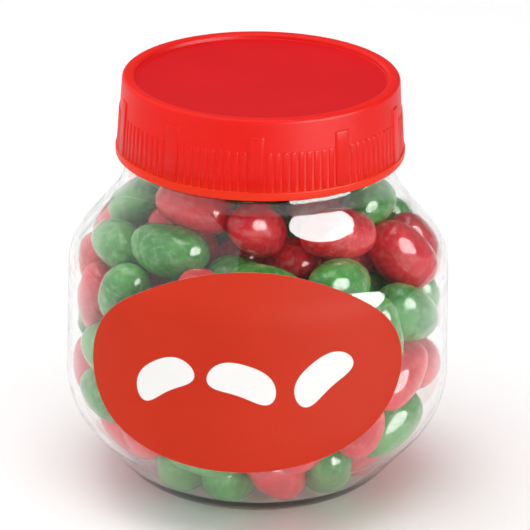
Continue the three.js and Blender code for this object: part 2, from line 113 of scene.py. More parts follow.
class Finish:
    """A material and its nodes. node() takes a node's type, its settings and its sockets."""

    def __init__(self, name):
        self.material = bpy.data.materials.new(name)
        self.material.use_nodes = True
        self.tree = self.material.node_tree
        self.tree.nodes.clear()

    def node(self, kind, settings=None, sockets=None):
        made = self.tree.nodes.new("ShaderNode" + kind)
        for name, value in (settings or {}).items():
            setattr(made, name, value)
        for name, value in (sockets or {}).items():
            if isinstance(value, Wire):
                self.tree.links.new(value.socket, made.inputs[name])
            else:
                made.inputs[name].default_value = value
        return Wire(self, made.outputs[0]) if made.outputs else None

    def mix(self, share, first, second):
        """Blends two colours by a share from 0 to 1."""
        mixed = self.node("Mix", {"data_type": "RGBA"}, {0: share, 6: first, 7: second})
        return Wire(self, mixed.socket.node.outputs[2])

    def ramp(self, value, low, high):
        """0 below low, 1 above high, smooth between."""
        settings = {"interpolation_type": "SMOOTHSTEP"}
        return self.node("MapRange", settings, {"Value": value, "From Min": low, "From Max": high})

    def surface(self, shader):
        self.node("OutputMaterial", None, {"Surface": shader})
        return self.material


def place_light(name, azimuth, elevation, distance, width, height, radiance, roll=0, shape="RECTANGLE"):
    """A soft box that faces the jar. Azimuth is 0 in front and grows to the right. Metres, degrees."""
    light = bpy.data.lights.new(name, "AREA")
    light.shape = shape
    light.size = width
    light.size_y = height
    light.energy = radiance * math.pi * width * height
    lamp = bpy.data.objects.new(name, light)
    scene.collection.objects.link(lamp)
    a = math.radians(azimuth)
    e = math.radians(elevation)
    away = Vector((math.sin(a) * math.cos(e), -math.cos(a) * math.cos(e), math.sin(e)))
    lamp.location = AIM + away * distance
    turn = away.to_track_quat("Z", "Y").to_matrix() @ Matrix.Rotation(math.radians(roll), 3, "Z")
    lamp.rotation_euler = turn.to_euler()
    return lamp


place_light("left_soft_box", azimuth=-95, elevation=30, distance=1.0, width=3.2, height=2.4, radiance=0.9)
place_light("top_soft_box", azimuth=0, elevation=88, distance=1.2, width=1.0, height=1.0, radiance=3.0)
fill = place_light("front_fill", azimuth=42, elevation=20, distance=1.0, width=2.4, height=0.7, radiance=1.3)
fill.visible_glossy = False
fill.visible_transmission = False
gleam = place_light("right_gleam", azimuth=53, elevation=17, distance=2.5, width=2.8, height=2.3,
                    radiance=16, roll=35, shape="ELLIPSE")
gleam.visible_diffuse = False

ROOM_GREY = (0.18, 0.18, 0.18, 1)
scene.world = bpy.data.worlds.new("studio")
scene.world.use_nodes = True
scene.world.node_tree.nodes["Background"].inputs["Color"].default_value = ROOM_GREY

FLOOR_HALF = 4.0                      # metres
FLOOR_WHITE = (0.97, 0.97, 0.97, 1)
floor_corners = [(-FLOOR_HALF, -FLOOR_HALF, 0), (FLOOR_HALF, -FLOOR_HALF, 0), (FLOOR_HALF, FLOOR_HALF, 0),
                 (-FLOOR_HALF, FLOOR_HALF, 0)]
floor_mesh = bpy.data.meshes.new("floor")
floor_mesh.from_pydata(floor_corners, [], [(0, 1, 2, 3)])
floor = bpy.data.objects.new("floor", floor_mesh)
scene.collection.objects.link(floor)
paint = Finish("floor_paint")
floor_mesh.materials.append(paint.surface(paint.node("BsdfPrincipled", None, {
    "Base Color": FLOOR_WHITE, "Roughness": 0.6, "Specular IOR Level": 0.2})))

# ---------------------------------------------------------------- jar
# Stretch-blown from clear PET: a thin floor with a hollow under it, a flared lower wall, a nearly
# straight belly, a sloping shoulder and a plain neck, with a step that the cap comes down to.

SEAT_RADIUS = 15.2
FOOT_RADIUS = 23.5
BELLY_RADIUS = 37.95
BELLY_BOTTOM = 16.7
BELLY_TOP = 48.1
BELLY_DRAFT = 0.7                     # how much smaller the belly's radius is at its top
NECK_RADIUS = 26.2
NECK_CORNER = 61.7
FINISH_BOTTOM = 66.4                  # where the neck steps in to its finish, which the cap covers
FINISH_RADIUS = 25.0
MOUTH_HEIGHT = 80.8
WALL = 0.8
FLOOR_HEIGHT = 1.8
PUSH_UP = 0.8                         # depth of the hollow under the floor
FOOT_ROUND = 12.5
BELLY_ROUND = 18
SHOULDER_ROUND = 9
NECK_ROUND = 12
JAR_STEPS = 14                        # flats in each rounded corner
JAR_SEGMENTS = 160

wall_corners = [
    (SEAT_RADIUS, 0),
    (FOOT_RADIUS, 0),
    (BELLY_RADIUS, BELLY_BOTTOM),
    (BELLY_RADIUS - BELLY_DRAFT, BELLY_TOP),
    (NECK_RADIUS, NECK_CORNER),
    (NECK_RADIUS, FINISH_BOTTOM),
]
wall_rounds = [FOOT_ROUND, BELLY_ROUND, SHOULDER_ROUND, NECK_ROUND]
inside_rounds = [FOOT_ROUND - WALL, BELLY_ROUND - WALL, SHOULDER_ROUND - WALL, NECK_ROUND + WALL]


def round_corners(corners, radii, steps):
    """Rounds the inner corners of an outline of (radius, height) points, each by its own radius."""
    outline = [tuple(corners[0])]
    for before, corner, after, radius in zip(corners, corners[1:], corners[2:], radii):
        corner = Vector(corner)
        back = (Vector(before) - corner).normalized()
        ahead = (Vector(after) - corner).normalized()
        half = math.acos(back.dot(ahead)) / 2
        start = corner + back * (radius / math.tan(half))
        end = corner + ahead * (radius / math.tan(half))
        middle = corner + (back + ahead).normalized() * (radius / math.sin(half))
        first = math.atan2(start.y - middle.y, start.x - middle.x)
        turn = math.atan2(end.y - middle.y, end.x - middle.x) - first
        turn -= 2 * math.pi * math.floor(turn / (2 * math.pi) + 0.5)
        for k in range(steps + 1):
            angle = first + turn * k / steps
            outline.append((middle.x + radius * math.cos(angle), middle.y + radius * math.sin(angle)))
    outline.append(tuple(corners[-1]))
    return outline


def move_inwards(corners, distance):
    """Moves an outline that runs upwards towards the axis."""
    normals = []
    for (r0, z0), (r1, z1) in zip(corners, corners[1:]):
        length = math.hypot(r1 - r0, z1 - z0)
        normals.append(Vector((-(z1 - z0) / length, (r1 - r0) / length)))
    moved = []
    for i, corner in enumerate(corners):
        before = normals[max(i - 1, 0)]
        after = normals[min(i, len(normals) - 1)]
        both = (before + after) * (distance / (1 + before.dot(after)))
        moved.append((corner[0] + both.x, corner[1] + both.y))
    return moved


def inside_corners():
    """The floor is thicker than the wall, so the inside starts where the flared wall reaches it."""
    moved = move_inwards(wall_corners, WALL)
    slope = (moved[2][0] - moved[1][0]) / (moved[2][1] - moved[1][1])
    foot = (moved[1][0] + slope * (FLOOR_HEIGHT - moved[1][1]), FLOOR_HEIGHT)
    return [(0, FLOOR_HEIGHT), foot, moved[2], moved[3], moved[4], (moved[5][0], FINISH_BOTTOM)]


def make_object(name, vertices, faces, material):
    """A smooth mesh object at the origin, from vertices in millimetres, its faces turned outwards."""
    mesh = bpy.data.meshes.new(name)
    mesh.from_pydata([Vector(v) * MM for v in vertices], [], faces)
    mesh.validate()
    made = bpy.data.objects.new(name, mesh)
    scene.collection.objects.link(made)
    bpy.context.view_layer.objects.active = made
    bpy.ops.object.mode_set(mode="EDIT")
    bpy.ops.mesh.select_all(action="SELECT")
    bpy.ops.mesh.normals_make_consistent(inside=False)
    bpy.ops.object.mode_set(mode="OBJECT")
    for face in mesh.polygons:
        face.use_smooth = True
    mesh.materials.append(material)
    return made


def turned(outline, segments):
    """Vertices and faces of an outline of (radius, height) points turned about Z."""
    vertices = []
    faces = []
    rings = []
    for radius, height in outline:
        if radius == 0:
            rings.append([len(vertices)] * segments)
            vertices.append((0, 0, height))
            continue
        rings.append([len(vertices) + k for k in range(segments)])
        for k in range(segments):
            angle = 2 * math.pi * k / segments
            vertices.append((radius * math.sin(angle), -radius * math.cos(angle), height))
    for low, high in zip(rings, rings[1:]):
        for k in range(segments):
            m = (k + 1) % segments
            face = [low[k], low[m], high[m], high[k]]
            faces.append([v for i, v in enumerate(face) if v not in face[:i]])
    return vertices, faces


def make_jar_plastic():
    """Clear PET. Light from the lamps goes straight through to the sweets behind it."""
    pet = Finish("clear_pet")
    place = pet.node("TexCoord")["Object"]
    streaks = pet.node("Mapping", None, {"Vector": place, "Scale": (1, 1, 6)})
    waves = pet.node("TexNoise", None, {"Vector": streaks, "Scale": 55.0, "Detail": 2.0})
    bump = pet.node("Bump", None, {"Strength": 0.1, "Distance": 0.2 * MM, "Height": waves})
    plastic = pet.node("BsdfPrincipled", None, {
        "Base Color": (0.98, 0.98, 0.97, 1), "Roughness": 0.03, "IOR": 1.4,
        "Transmission Weight": 1.0, "Normal": bump})
    clear = pet.node("BsdfTransparent", None, {"Color": (0.94, 0.94, 0.93, 1)})
    path = pet.node("LightPath")
    through = path["Is Shadow Ray"] | path["Is Diffuse Ray"]
    return pet.surface(pet.node("MixShader", None, {0: through, 1: plastic, 2: clear}))


outside = round_corners(wall_corners, wall_rounds, JAR_STEPS)
inside = round_corners(inside_corners(), inside_rounds, JAR_STEPS)
finish_step = FINISH_BOTTOM + NECK_RADIUS - FINISH_RADIUS
finish = [
    (FINISH_RADIUS, finish_step),
    (FINISH_RADIUS, MOUTH_HEIGHT),
    (FINISH_RADIUS - WALL * 2, MOUTH_HEIGHT),
    (FINISH_RADIUS - WALL * 2, finish_step),
]
hollow = [(0, PUSH_UP), (SEAT_RADIUS - PUSH_UP, PUSH_UP)]
jar_vertices, jar_faces = turned(hollow + outside + finish + inside[::-1], JAR_SEGMENTS)
jar = make_object("jar_body", jar_vertices, jar_faces, make_jar_plastic())
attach(jar, "root")
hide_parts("jar")

# ---------------------------------------------------------------- cap
# Injection-moulded in red polypropylene, hollow underneath: a sunken disc in a rounded rim, and
# a skirt with ten smooth pads, nine fine ribs between each two, and a bead along the bottom.

CAP_BOTTOM = 67.6
CAP_TOP = 83.2
CAP_RIM_RADIUS = 26.8
CAP_SKIRT_RADIUS = 27.7
CAP_BEAD_RADIUS = 28.1
CAP_BEAD_HEIGHT = 1.6
CAP_WALL = 1.2
CAP_RIM_WIDTH = 2.3
CAP_RECESS = 1.0                      # how far the disc lies below the rim
CAP_DISC = 1.0                        # the disc's thickness
BEAD_SLOPE = 0.2                      # height over which the bead's top slopes in to the skirt
RECESS_DRAFT = 0.2                    # how much smaller the recess's radius is at the disc
CAP_SEGMENTS = 180
CAP_STEPS = 6                         # flats in each rounded edge
GRIP_SECTORS = 10
GRIP_RIBS = 9
PAD_ANGLE = 7                         # degrees, as the next two
PAD_TURN = -1.6
RIB_HALF_ANGLE = 1.3
RIB_DEPTH = 0.2
PAD_DEPTH = 0.3
RIB_DROP = 6.2                        # how far below the cap's top each bar ends
PAD_DROP = 3.2
RIB_POWER = 2                         # a round section; the pad's higher one is nearly square
PAD_POWER = 6
GRIP_SINK = 0.02                      # how far a bar is let into the skirt, and its long edges
GRIP_EDGE_SINK = 0.05
GRIP_END = [(0.45, 1), (0.15, 0.75), (0, 0.15)]     # distance from a bar's top, share of its depth
SKIRT_REDS = ((0.72, 0.011, 0.008, 1), (0.79, 0.017, 0.011, 1))
DISC_REDS = ((0.57, 0.004, 0.007, 1), (0.67, 0.006, 0.010, 1))
BEAD_RED = (0.79, 0.032, 0.009, 1)
DISC_FADE = (24.0, 24.6)              # radii between which the disc's red turns into the skirt's
BEAD_FADE = (0.8, 3.5)                # heights above the cap's bottom between which the bead's does

GRIP_BOTTOM = CAP_BOTTOM + CAP_BEAD_HEIGHT / 2


def skirt_radius(height):
    """Radius of the tapered skirt between its bead and its top."""
    share = (height - CAP_BOTTOM - CAP_BEAD_HEIGHT) / (CAP_TOP - CAP_BOTTOM - CAP_BEAD_HEIGHT)
    return CAP_SKIRT_RADIUS + (CAP_RIM_RADIUS - CAP_SKIRT_RADIUS) * share


def make_grip(name, half_angle, top, depth, power, material):
    """One bar of the grip at azimuth 0, sunk in the skirt, its section a bulge of the given power."""
    sides = 8
    levels = [(GRIP_BOTTOM, 1)] + [(top - drop, share) for drop, share in GRIP_END]
    vertices = []
    for height, share in levels:
        for k in range(sides + 1):
            across = k / sides * 2 - 1
            bulge = (1 - abs(across) ** power) ** (1 / power)
            lift = depth * bulge * share - GRIP_SINK if abs(across) < 1 else -GRIP_EDGE_SINK
            radius = skirt_radius(height) + lift
            angle = math.radians(half_angle * across)
            vertices.append((radius * math.sin(angle), -radius * math.cos(angle), height))
        for side in (1, -1):
            radius = skirt_radius(height) - CAP_WALL / 2
            angle = math.radians(half_angle * side)
            vertices.append((radius * math.sin(angle), -radius * math.cos(angle), height))
    count = sides + 3
    faces = [list(range(count)), [len(vertices) - 1 - k for k in range(count)]]
    for level in range(len(levels) - 1):
        for k in range(count):
            m = (k + 1) % count
            low = level * count
            faces.append([low + k, low + m, low + count + m, low + count + k])
    return make_object(name, vertices, faces, material)


class NodeTree:
    """A Geometry Nodes tree with named inputs. node() works as it does for a finish."""

    def __init__(self, name, inputs):
        self.group = bpy.data.node_groups.new(name, "GeometryNodeTree")
        for label, kind in inputs:
            self.group.interface.new_socket(label, in_out="INPUT", socket_type="NodeSocket" + kind)
        self.group.interface.new_socket("Geometry", in_out="OUTPUT", socket_type="NodeSocketGeometry")
        self.inputs = self.group.nodes.new("NodeGroupInput")

    def __getitem__(self, name):
        return self.inputs.outputs[name]

    def node(self, kind, settings=None, sockets=None, output=0):
        made = self.group.nodes.new(kind)
        for name, value in (settings or {}).items():
            setattr(made, name, value)
        for name, value in (sockets or {}).items():
            if isinstance(value, bpy.types.NodeSocket):
                self.group.links.new(value, made.inputs[name])
            else:
                made.inputs[name].default_value = value
        return made.outputs[output]

    def math(self, operation, a, b=0.0):
        return self.node("ShaderNodeMath", {"operation": operation}, {0: a, 1: b})

    def join(self, *parts):
        made = self.group.nodes.new("GeometryNodeJoinGeometry")
        for part in reversed(parts):
            self.group.links.new(part, made.inputs[0])
        return made.outputs[0]

    def end(self, geometry, material):
        real = self.node("GeometryNodeRealizeInstances", None, {0: geometry})
        dressed = self.node("GeometryNodeSetMaterial", None, {"Geometry": real, "Material": material})
        self.group.links.new(dressed, self.group.nodes.new("NodeGroupOutput").inputs[0])


def bake(target, tree, values):
    """Runs a tree on an object with these inputs and keeps the result as the object's mesh."""
    modifier = target.modifiers.new(tree.group.name, "NODES")
    modifier.node_group = tree.group
    for socket in tree.group.interface.items_tree:
        if socket.in_out == "INPUT" and socket.name in values:
            modifier[socket.identifier] = values[socket.name]
    bpy.context.view_layer.update()
    evaluated = target.evaluated_get(bpy.context.evaluated_depsgraph_get())
    mesh = bpy.data.meshes.new_from_object(evaluated)
    mesh.name = target.name
    target.modifiers.remove(modifier)
    target.data = mesh


def make_cap_plastic():
    """Satin red polypropylene, more crimson on the disc and more orange at the bead, with the faint
    grain of the mould."""
    red = Finish("red_polypropylene")
    place = red.node("TexCoord")["Object"]
    axes = red.node("SeparateXYZ", None, {"Vector": place})
    from_axis = red.node("VectorMath", {"operation": "LENGTH"}, {
        "Vector": red.node("CombineXYZ", None, {"X": axes["X"], "Y": axes["Y"]})})["Value"]
    on_disc = 1 - red.ramp(from_axis, *(radius * MM for radius in DISC_FADE))
    on_bead = 1 - red.ramp(axes["Z"], *((CAP_BOTTOM + height) * MM for height in BEAD_FADE))
    clouds = red.node("TexNoise", None, {"Vector": place, "Scale": 90.0, "Detail": 3.0})
    skirt = red.mix(clouds, *SKIRT_REDS)
    edge = red.mix(on_bead, skirt, BEAD_RED)
    disc = red.mix(clouds, *DISC_REDS)
    grain = red.node("TexNoise", None, {"Vector": place, "Scale": 2600.0, "Detail": 2.0})
    bump = red.node("Bump", None, {"Strength": 0.15, "Distance": 0.05 * MM, "Height": grain})
    return red.surface(red.node("BsdfPrincipled", None, {
        "Base Color": red.mix(on_disc, edge, disc), "Roughness": 0.3 + clouds * 0.1,
        "Specular IOR Level": 0.09, "Normal": bump}))


cap_plastic = make_cap_plastic()
disc_height = CAP_TOP - CAP_RECESS
cap_corners = [                       # radius, height and rounding, from the inside to the disc's top
    (0, disc_height - CAP_DISC, 0),
    (CAP_RIM_RADIUS - CAP_WALL, disc_height - CAP_DISC, 0.5),
    (CAP_SKIRT_RADIUS - CAP_WALL, CAP_BOTTOM, 0.2),
    (CAP_BEAD_RADIUS, CAP_BOTTOM, 0.4),
    (CAP_BEAD_RADIUS, CAP_BOTTOM + CAP_BEAD_HEIGHT, 0.35),
    (CAP_SKIRT_RADIUS, CAP_BOTTOM + CAP_BEAD_HEIGHT + BEAD_SLOPE, 0.15),
    (CAP_RIM_RADIUS, CAP_TOP, 0.8),
    (CAP_RIM_RADIUS - CAP_RIM_WIDTH, CAP_TOP, 0.75),
    (CAP_RIM_RADIUS - CAP_RIM_WIDTH - RECESS_DRAFT, disc_height, 0.3),
    (0, disc_height, 0),
]
cap_rounds = [corner[2] for corner in cap_corners[1:-1]]
cap_outline = round_corners([corner[:2] for corner in cap_corners], cap_rounds, CAP_STEPS)
cap_vertices, cap_faces = turned(cap_outline, CAP_SEGMENTS)
cap = make_object("cap_shell", cap_vertices, cap_faces, cap_plastic)
rib = make_grip("rib", RIB_HALF_ANGLE, CAP_TOP - RIB_DROP, RIB_DEPTH, RIB_POWER, cap_plastic)
pad = make_grip("pad", PAD_ANGLE / 2, CAP_TOP - PAD_DROP, PAD_DEPTH, PAD_POWER, cap_plastic)

grips = NodeTree("cap_grips", [
    ("Shell", "Geometry"), ("Rib", "Object"), ("Pad", "Object"), ("Sectors", "Int"), ("Ribs", "Int"),
    ("Pad angle", "Float"), ("Turn", "Float"), ("Plastic", "Material")])
sector = grips.math("DIVIDE", 360.0, grips["Sectors"])
pitch = grips.math("DIVIDE", grips.math("SUBTRACT", sector, grips["Pad angle"]), grips["Ribs"])
index = grips.node("GeometryNodeInputIndex")


def spin_copies(shape, count, degrees):
    """Copies of a shape turned about the Z axis by an angle that depends on the index."""
    points = grips.node("GeometryNodeMeshLine", None, {"Count": count, "Offset": (0, 0, 0)})
    angle = grips.math("RADIANS", grips.math("ADD", degrees, grips["Turn"]))
    turn = grips.node("ShaderNodeCombineXYZ", None, {"Z": angle})
    copy = grips.node("GeometryNodeObjectInfo", None, {"Object": shape}, "Geometry")
    return grips.node("GeometryNodeInstanceOnPoints", None, {
        "Points": points, "Instance": copy, "Rotation": turn})


whole = grips.math("FLOOR", grips.math("DIVIDE", index, grips["Ribs"]))
place_in_sector = grips.math("SUBTRACT", index, grips.math("MULTIPLY", whole, grips["Ribs"]))
step_angle = grips.math("MULTIPLY", grips.math("ADD", place_in_sector, 0.5), pitch)
rib_angle = grips.math("ADD", grips.math("MULTIPLY", whole, sector), step_angle)
rib_angle = grips.math("ADD", rib_angle, grips.math("DIVIDE", grips["Pad angle"], 2.0))
rib_count = grips.math("MULTIPLY", grips["Sectors"], grips["Ribs"])
ribs = spin_copies(grips["Rib"], rib_count, rib_angle)
pads = spin_copies(grips["Pad"], grips["Sectors"], grips.math("MULTIPLY", index, sector))
grips.end(grips.join(grips["Shell"], ribs, pads), grips["Plastic"])
bake(cap, grips, {
    "Rib": rib, "Pad": pad, "Sectors": GRIP_SECTORS, "Ribs": GRIP_RIBS, "Pad angle": float(PAD_ANGLE),
    "Turn": PAD_TURN, "Plastic": cap_plastic})
bpy.data.objects.remove(rib)
bpy.data.objects.remove(pad)
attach(cap, "root")
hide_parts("cap")

# ---------------------------------------------------------------- label
# An oval of white paper printed red all over, with three plain white beans in the middle. It is
# stuck round the front of the belly and up on to the shoulder, a little crooked.

LABEL_LENGTH = 69
LABEL_HEIGHT = 39.3
LABEL_TURN = -4.9                     # degrees; below 0 is to the left of the front
LABEL_MIDDLE = 35.1                   # height of its middle
LABEL_TILT = 3                        # degrees
LABEL_DROOP = 1.1                     # how far its ends hang
LABEL_THICKNESS = 0.12
LABEL_GAP = 0.03                      # the glue between paper and jar
LABEL_RINGS = 40
LABEL_SIDES = 160
LABEL_REDS = ((0.52, 0.028, 0.0095, 1), (0.58, 0.036, 0.0125, 1))
PAPER_WHITE = (0.86, 0.85, 0.83, 1)
RIM_FADE = (0.2, 0.8)                 # shares of the outermost ring's width where the ink ends
PRINTED_BEANS = ((-15.5, 28), (0.5, -20), (16, 36))   # place along the label and lean in degrees
PRINT_DROP = 0.5                      # how far below the label's middle they are
PRINT_HALF_LENGTH = 6.8
PRINT_HALF_WIDTH = 3.2
PRINT_BEND = 0.03                     # times the square of the place along a bean: how far it bends
PRINT_BEND_SHIFT = 0.5                # brings the bent bean back to its middle
PRINT_EDGE = (0.96, 1.04)             # the ink starts here; a bean's outline is at 1


def outside_radius(height):
    """Radius of the jar's outside at a height, and the slope there as a unit normal."""
    for (r0, z0), (r1, z1) in zip(outside[1:], outside[2:]):
        if z0 <= height <= z1:
            share = (height - z0) / (z1 - z0)
            length = math.hypot(r1 - r0, z1 - z0)
            return r0 + (r1 - r0) * share, (z1 - z0) / length, -(r1 - r0) / length
    raise ValueError("no wall at this height")


def label_point(across, up, lift):
    """A point of the label, from its place on the flat paper and its distance from the wall."""
    tilt = math.radians(LABEL_TILT)
    up -= LABEL_DROOP * (across / LABEL_LENGTH * 2) ** 2
    along = across * math.cos(tilt) - up * math.sin(tilt)
    height = LABEL_MIDDLE + across * math.sin(tilt) + up * math.cos(tilt)
    radius, radial, upward = outside_radius(height)
    angle = math.radians(LABEL_TURN) + along / BELLY_RADIUS
    radius += lift * radial
    return radius * math.sin(angle), -radius * math.cos(angle), height + lift * upward


def make_label_paper():
    """Red ink on white paper, which shows along the cut edge, with three plain beans left white."""
    paper = Finish("printed_paper")
    flat = paper.node("UVMap", {"uv_map": "flat"})
    axes = paper.node("SeparateXYZ", None, {"Vector": flat})
    print_mask = None
    for middle, lean in PRINTED_BEANS:
        u = axes["X"] * LABEL_LENGTH - LABEL_LENGTH / 2 - middle
        v = axes["Y"] * LABEL_HEIGHT - LABEL_HEIGHT / 2 + PRINT_DROP
        c = math.cos(math.radians(lean))
        s = math.sin(math.radians(lean))
        along = u * c + v * s
        aside = v * c - u * s
        bent = aside + along * along * PRINT_BEND - PRINT_BEND_SHIFT
        end = along * along / PRINT_HALF_LENGTH ** 2
        far = end * end + bent * bent / PRINT_HALF_WIDTH ** 2
        bean = 1 - paper.ramp(far, *PRINT_EDGE)
        print_mask = bean if print_mask is None else print_mask | bean
    place = paper.node("TexCoord")["Object"]
    fibres = paper.node("TexNoise", None, {"Vector": place, "Scale": 1400.0, "Detail": 4.0})
    clouds = paper.node("TexNoise", None, {"Vector": place, "Scale": 60.0, "Detail": 2.0})
    ink = paper.mix(clouds, *LABEL_REDS)
    rim = paper.node("Attribute", {"attribute_name": "rim"})["Fac"]
    bare = print_mask | paper.ramp(rim, *RIM_FADE)
    bump = paper.node("Bump", None, {"Strength": 0.2, "Distance": 0.02 * MM, "Height": fibres})
    return paper.surface(paper.node("BsdfPrincipled", None, {
        "Base Color": paper.mix(bare, ink, PAPER_WHITE), "Roughness": 0.55 + fibres * 0.1,
        "Specular IOR Level": 0.06, "Normal": bump}))


label_vertices = []
label_flat = []
label_rim = []
for lift in (LABEL_GAP + LABEL_THICKNESS, LABEL_GAP):
    for ring in range(LABEL_RINGS + 1):
        share = math.sin(ring / LABEL_RINGS * math.pi / 2)
        for k in range(LABEL_SIDES if ring else 1):
            angle = 2 * math.pi * k / LABEL_SIDES
            across = math.cos(angle) * share
            up = math.sin(angle) * share
            label_vertices.append(label_point(across * LABEL_LENGTH / 2, up * LABEL_HEIGHT / 2, lift))
            label_flat.append((across / 2 + 0.5, up / 2 + 0.5))
            label_rim.append(1.0 if ring == LABEL_RINGS else 0.0)
side = len(label_vertices) // 2
label_faces = []
for base in (0, side):
    for k in range(LABEL_SIDES):
        m = (k + 1) % LABEL_SIDES
        label_faces.append([base, base + 1 + k, base + 1 + m])
        for ring in range(1, LABEL_RINGS):
            low = base + 1 + (ring - 1) * LABEL_SIDES
            high = low + LABEL_SIDES
            label_faces.append([low + k, high + k, high + m, low + m])
for k in range(LABEL_SIDES):
    m = (k + 1) % LABEL_SIDES
    last = 1 + (LABEL_RINGS - 1) * LABEL_SIDES
    label_faces.append([last + k, side + last + k, side + last + m, last + m])
label = make_object("paper_label", label_vertices, label_faces, make_label_paper())
flat_map = label.data.uv_layers.new(name="flat")
for loop in label.data.loops:
    flat_map.data[loop.index].uv = label_flat[loop.vertex_index]
rim_values = label.data.attributes.new("rim", "FLOAT", "POINT")
rim_values.data.foreach_set("value", label_rim)
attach(label, "root")
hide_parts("label")

# ---------------------------------------------------------------- jelly beans
# Sugar-shelled jelly beans in two colours, poured in loose. The ones in front are set one by one; the
# rest fall, spread and push each other apart until the jar is full.

BEAN_COUNT = 148
BEAN_REACH = 3.5                      # from a bean's middle ball to each of its tip balls
BEAN_WAIST = 5.1                      # radii of the middle ball and of the tip balls
BEAN_TIP = 4.6
BALL_RADII = [BEAN_TIP, BEAN_WAIST, BEAN_TIP]
BEAN_BEND = 0.55                      # how far the middle ball is off the line of the tips
BEAN_ARCH = 0.66                      # how far the smooth bean's middle is bent
BEAN_FLATNESS = 0.96
BEAN_FULLNESS = 0.8                   # 1 is an ellipse, and less is fuller at the ends
BEAN_SPREAD = 0.12                    # in size, between the smallest and the largest loose bean
BEAN_CLEARANCE = 0.5                  # from the balls to the wall
FILL_HEIGHT = 66
ROOM_STEPS = 4                        # flats in each rounded corner of the room for beans
STEEP_ENOUGH = 0.01                   # a placed bean leans on no limit that is more level
SHORTEST_DRAW = 0.2                   # a random direction shorter than this is drawn again
PACK_SEED = 41
PACK_STEPS = 1000
PACK_NEAR = 18                        # beans whose middles are further apart can't touch
PACK_REFRESH = 8                      # steps from one search for near pairs to the next
START_SIZE = 0.62
SINK = 0.1                            # down per step
DRIFT = 0.08                          # outwards per step, beyond the next radius
DRIFT_FROM = 18
GROWN_AT = 0.55                       # share of the steps by which the beans are full size,
CALM_AT = 0.6                         # from which they sink and drift less, by the next value,
CALM_EASE = 0.2
STILL_AT = 0.8                        # from which they no longer sink or drift,
LOOSE_AT = 0.9                        # and from which the placed ones are let go
HELD_WEIGHT = 0.02                    # how much a held bean gives way, where a loose one has 1
HELD_PULL = 0.3                       # share of the way back to its place, per step
RANDOM_FACTOR = 1664525
RANDOM_STEP = 1013904223
RANDOM_RANGE = 2 ** 32
FINENESS = 1e5                        # limits and placed beans are rounded to one part in this
RED = 0
GREEN = 1

# Azimuth and height of the middle, lean in the wall's plane, tilt into the jar, size, colour.
placed = [
    (-43, 52.5, 173, 8, 1.03, GREEN), (-42.5, 61, 0, 13, 0.98, RED), (-1, 59.5, 1, 63, 0.95, RED),
    (-74.5, 49.5, -4, 10, 0.92, GREEN), (-56, 42, -136, 8, 1.02, GREEN), (-113, 47.5, -95, 9, 0.93, RED),
    (-93, 55, 63, 10, 0.88, GREEN), (-98.5, 41, -112, 9, 0.94, RED), (-81, 37.5, -112, 8, 1.03, RED),
    (-88.5, 21.5, -95, 9, 0.94, RED), (-66, 21, 167, 9, 0.92, GREEN), (-65.5, 13, 162, 8, 1, RED),
    (-39, 8.5, -111, 9, 0.93, GREEN), (-13.5, 7.5, 93, 9, 0.96, GREEN), (10.5, 9.5, -80, 9, 0.94, RED),
    (35, 10, -70, 8, 1, GREEN), (58.5, 17, 14, 8, 1.03, GREEN), (68.5, 9.5, -132, 9, 0.94, RED),
    (87.5, 22.5, 156, 8, 1, RED), (68.5, 37.5, 148, 8, 1.04, GREEN), (96.5, 35.5, 155, 9, 0.92, GREEN),
    (34, 48.5, -12, 24, 1.02, GREEN), (41, 55, -20, 9, 1, RED), (78, 48.5, -68, 8, 1.03, RED),
    (101, 46, 126, 9, 0.94, RED), (84.5, 58, 166, 11, 0.92, GREEN), (120.5, 47.5, -101, 9, 0.9, GREEN),
    (2, 48, 174, 11, 1, GREEN),
]


def make_random(seed):
    """A repeatable run of numbers from 0 to 1."""
    state = [seed]

    def draw():
        state[0] = (state[0] * RANDOM_FACTOR + RANDOM_STEP) % RANDOM_RANGE
        return state[0] / RANDOM_RANGE

    return draw


def rounded(value):
    """Takes out the last digits, so that the packing is the same wherever it is worked out."""
    return math.floor(value * FINENESS + 0.5) / FINENESS


def room_limits():
    """The room for beans, as flat limits (radial, upward, reach) on (radius, height)."""
    outline = round_corners(inside_corners()[:5], inside_rounds[:3], ROOM_STEPS)
    limits = []
    for (r0, z0), (r1, z1) in zip(outline, outline[1:]):
        length = math.sqrt((r1 - r0) ** 2 + (z1 - z0) ** 2)
        radial = (z1 - z0) / length
        upward = -(r1 - r0) / length
        limits.append((rounded(radial), rounded(upward), rounded(radial * r1 + upward * z1)))
    return limits


def place_bean(limits, azimuth, height, lean, tilt, size):
    """A bean placed against the wall, as three balls along its length."""
    off = BEAN_WAIST * size + BEAN_CLEARANCE
    radius = BELLY_RADIUS
    wall = limits[0]
    for limit in limits:
        radial, upward, reach = limit
        if radial > STEEP_ENOUGH and (reach - off - upward * height) / radial < radius:
            radius = (reach - off - upward * height) / radial
            wall = limit
    a = math.radians(azimuth)
    lean = math.radians(lean)
    tilt = math.radians(tilt)
    out = Vector((math.sin(a), -math.cos(a), 0))
    across = Vector((math.cos(a), math.sin(a), 0))
    up = out * -wall[1] + Vector((0, 0, wall[0]))
    inward = out * -wall[0] + Vector((0, 0, -wall[1]))
    axis = (across * math.cos(lean) + up * math.sin(lean)) * math.cos(tilt) + inward * math.sin(tilt)
    middle = out * radius + Vector((0, 0, height)) + inward * (math.sin(tilt) * BEAN_REACH * size)
    balls = [middle + axis * (BEAN_REACH * size * k) for k in (-1, 0, 1)]
    balls[1] = balls[1] - inward * BEAN_BEND
    return [[rounded(value) for value in ball] for ball in balls]


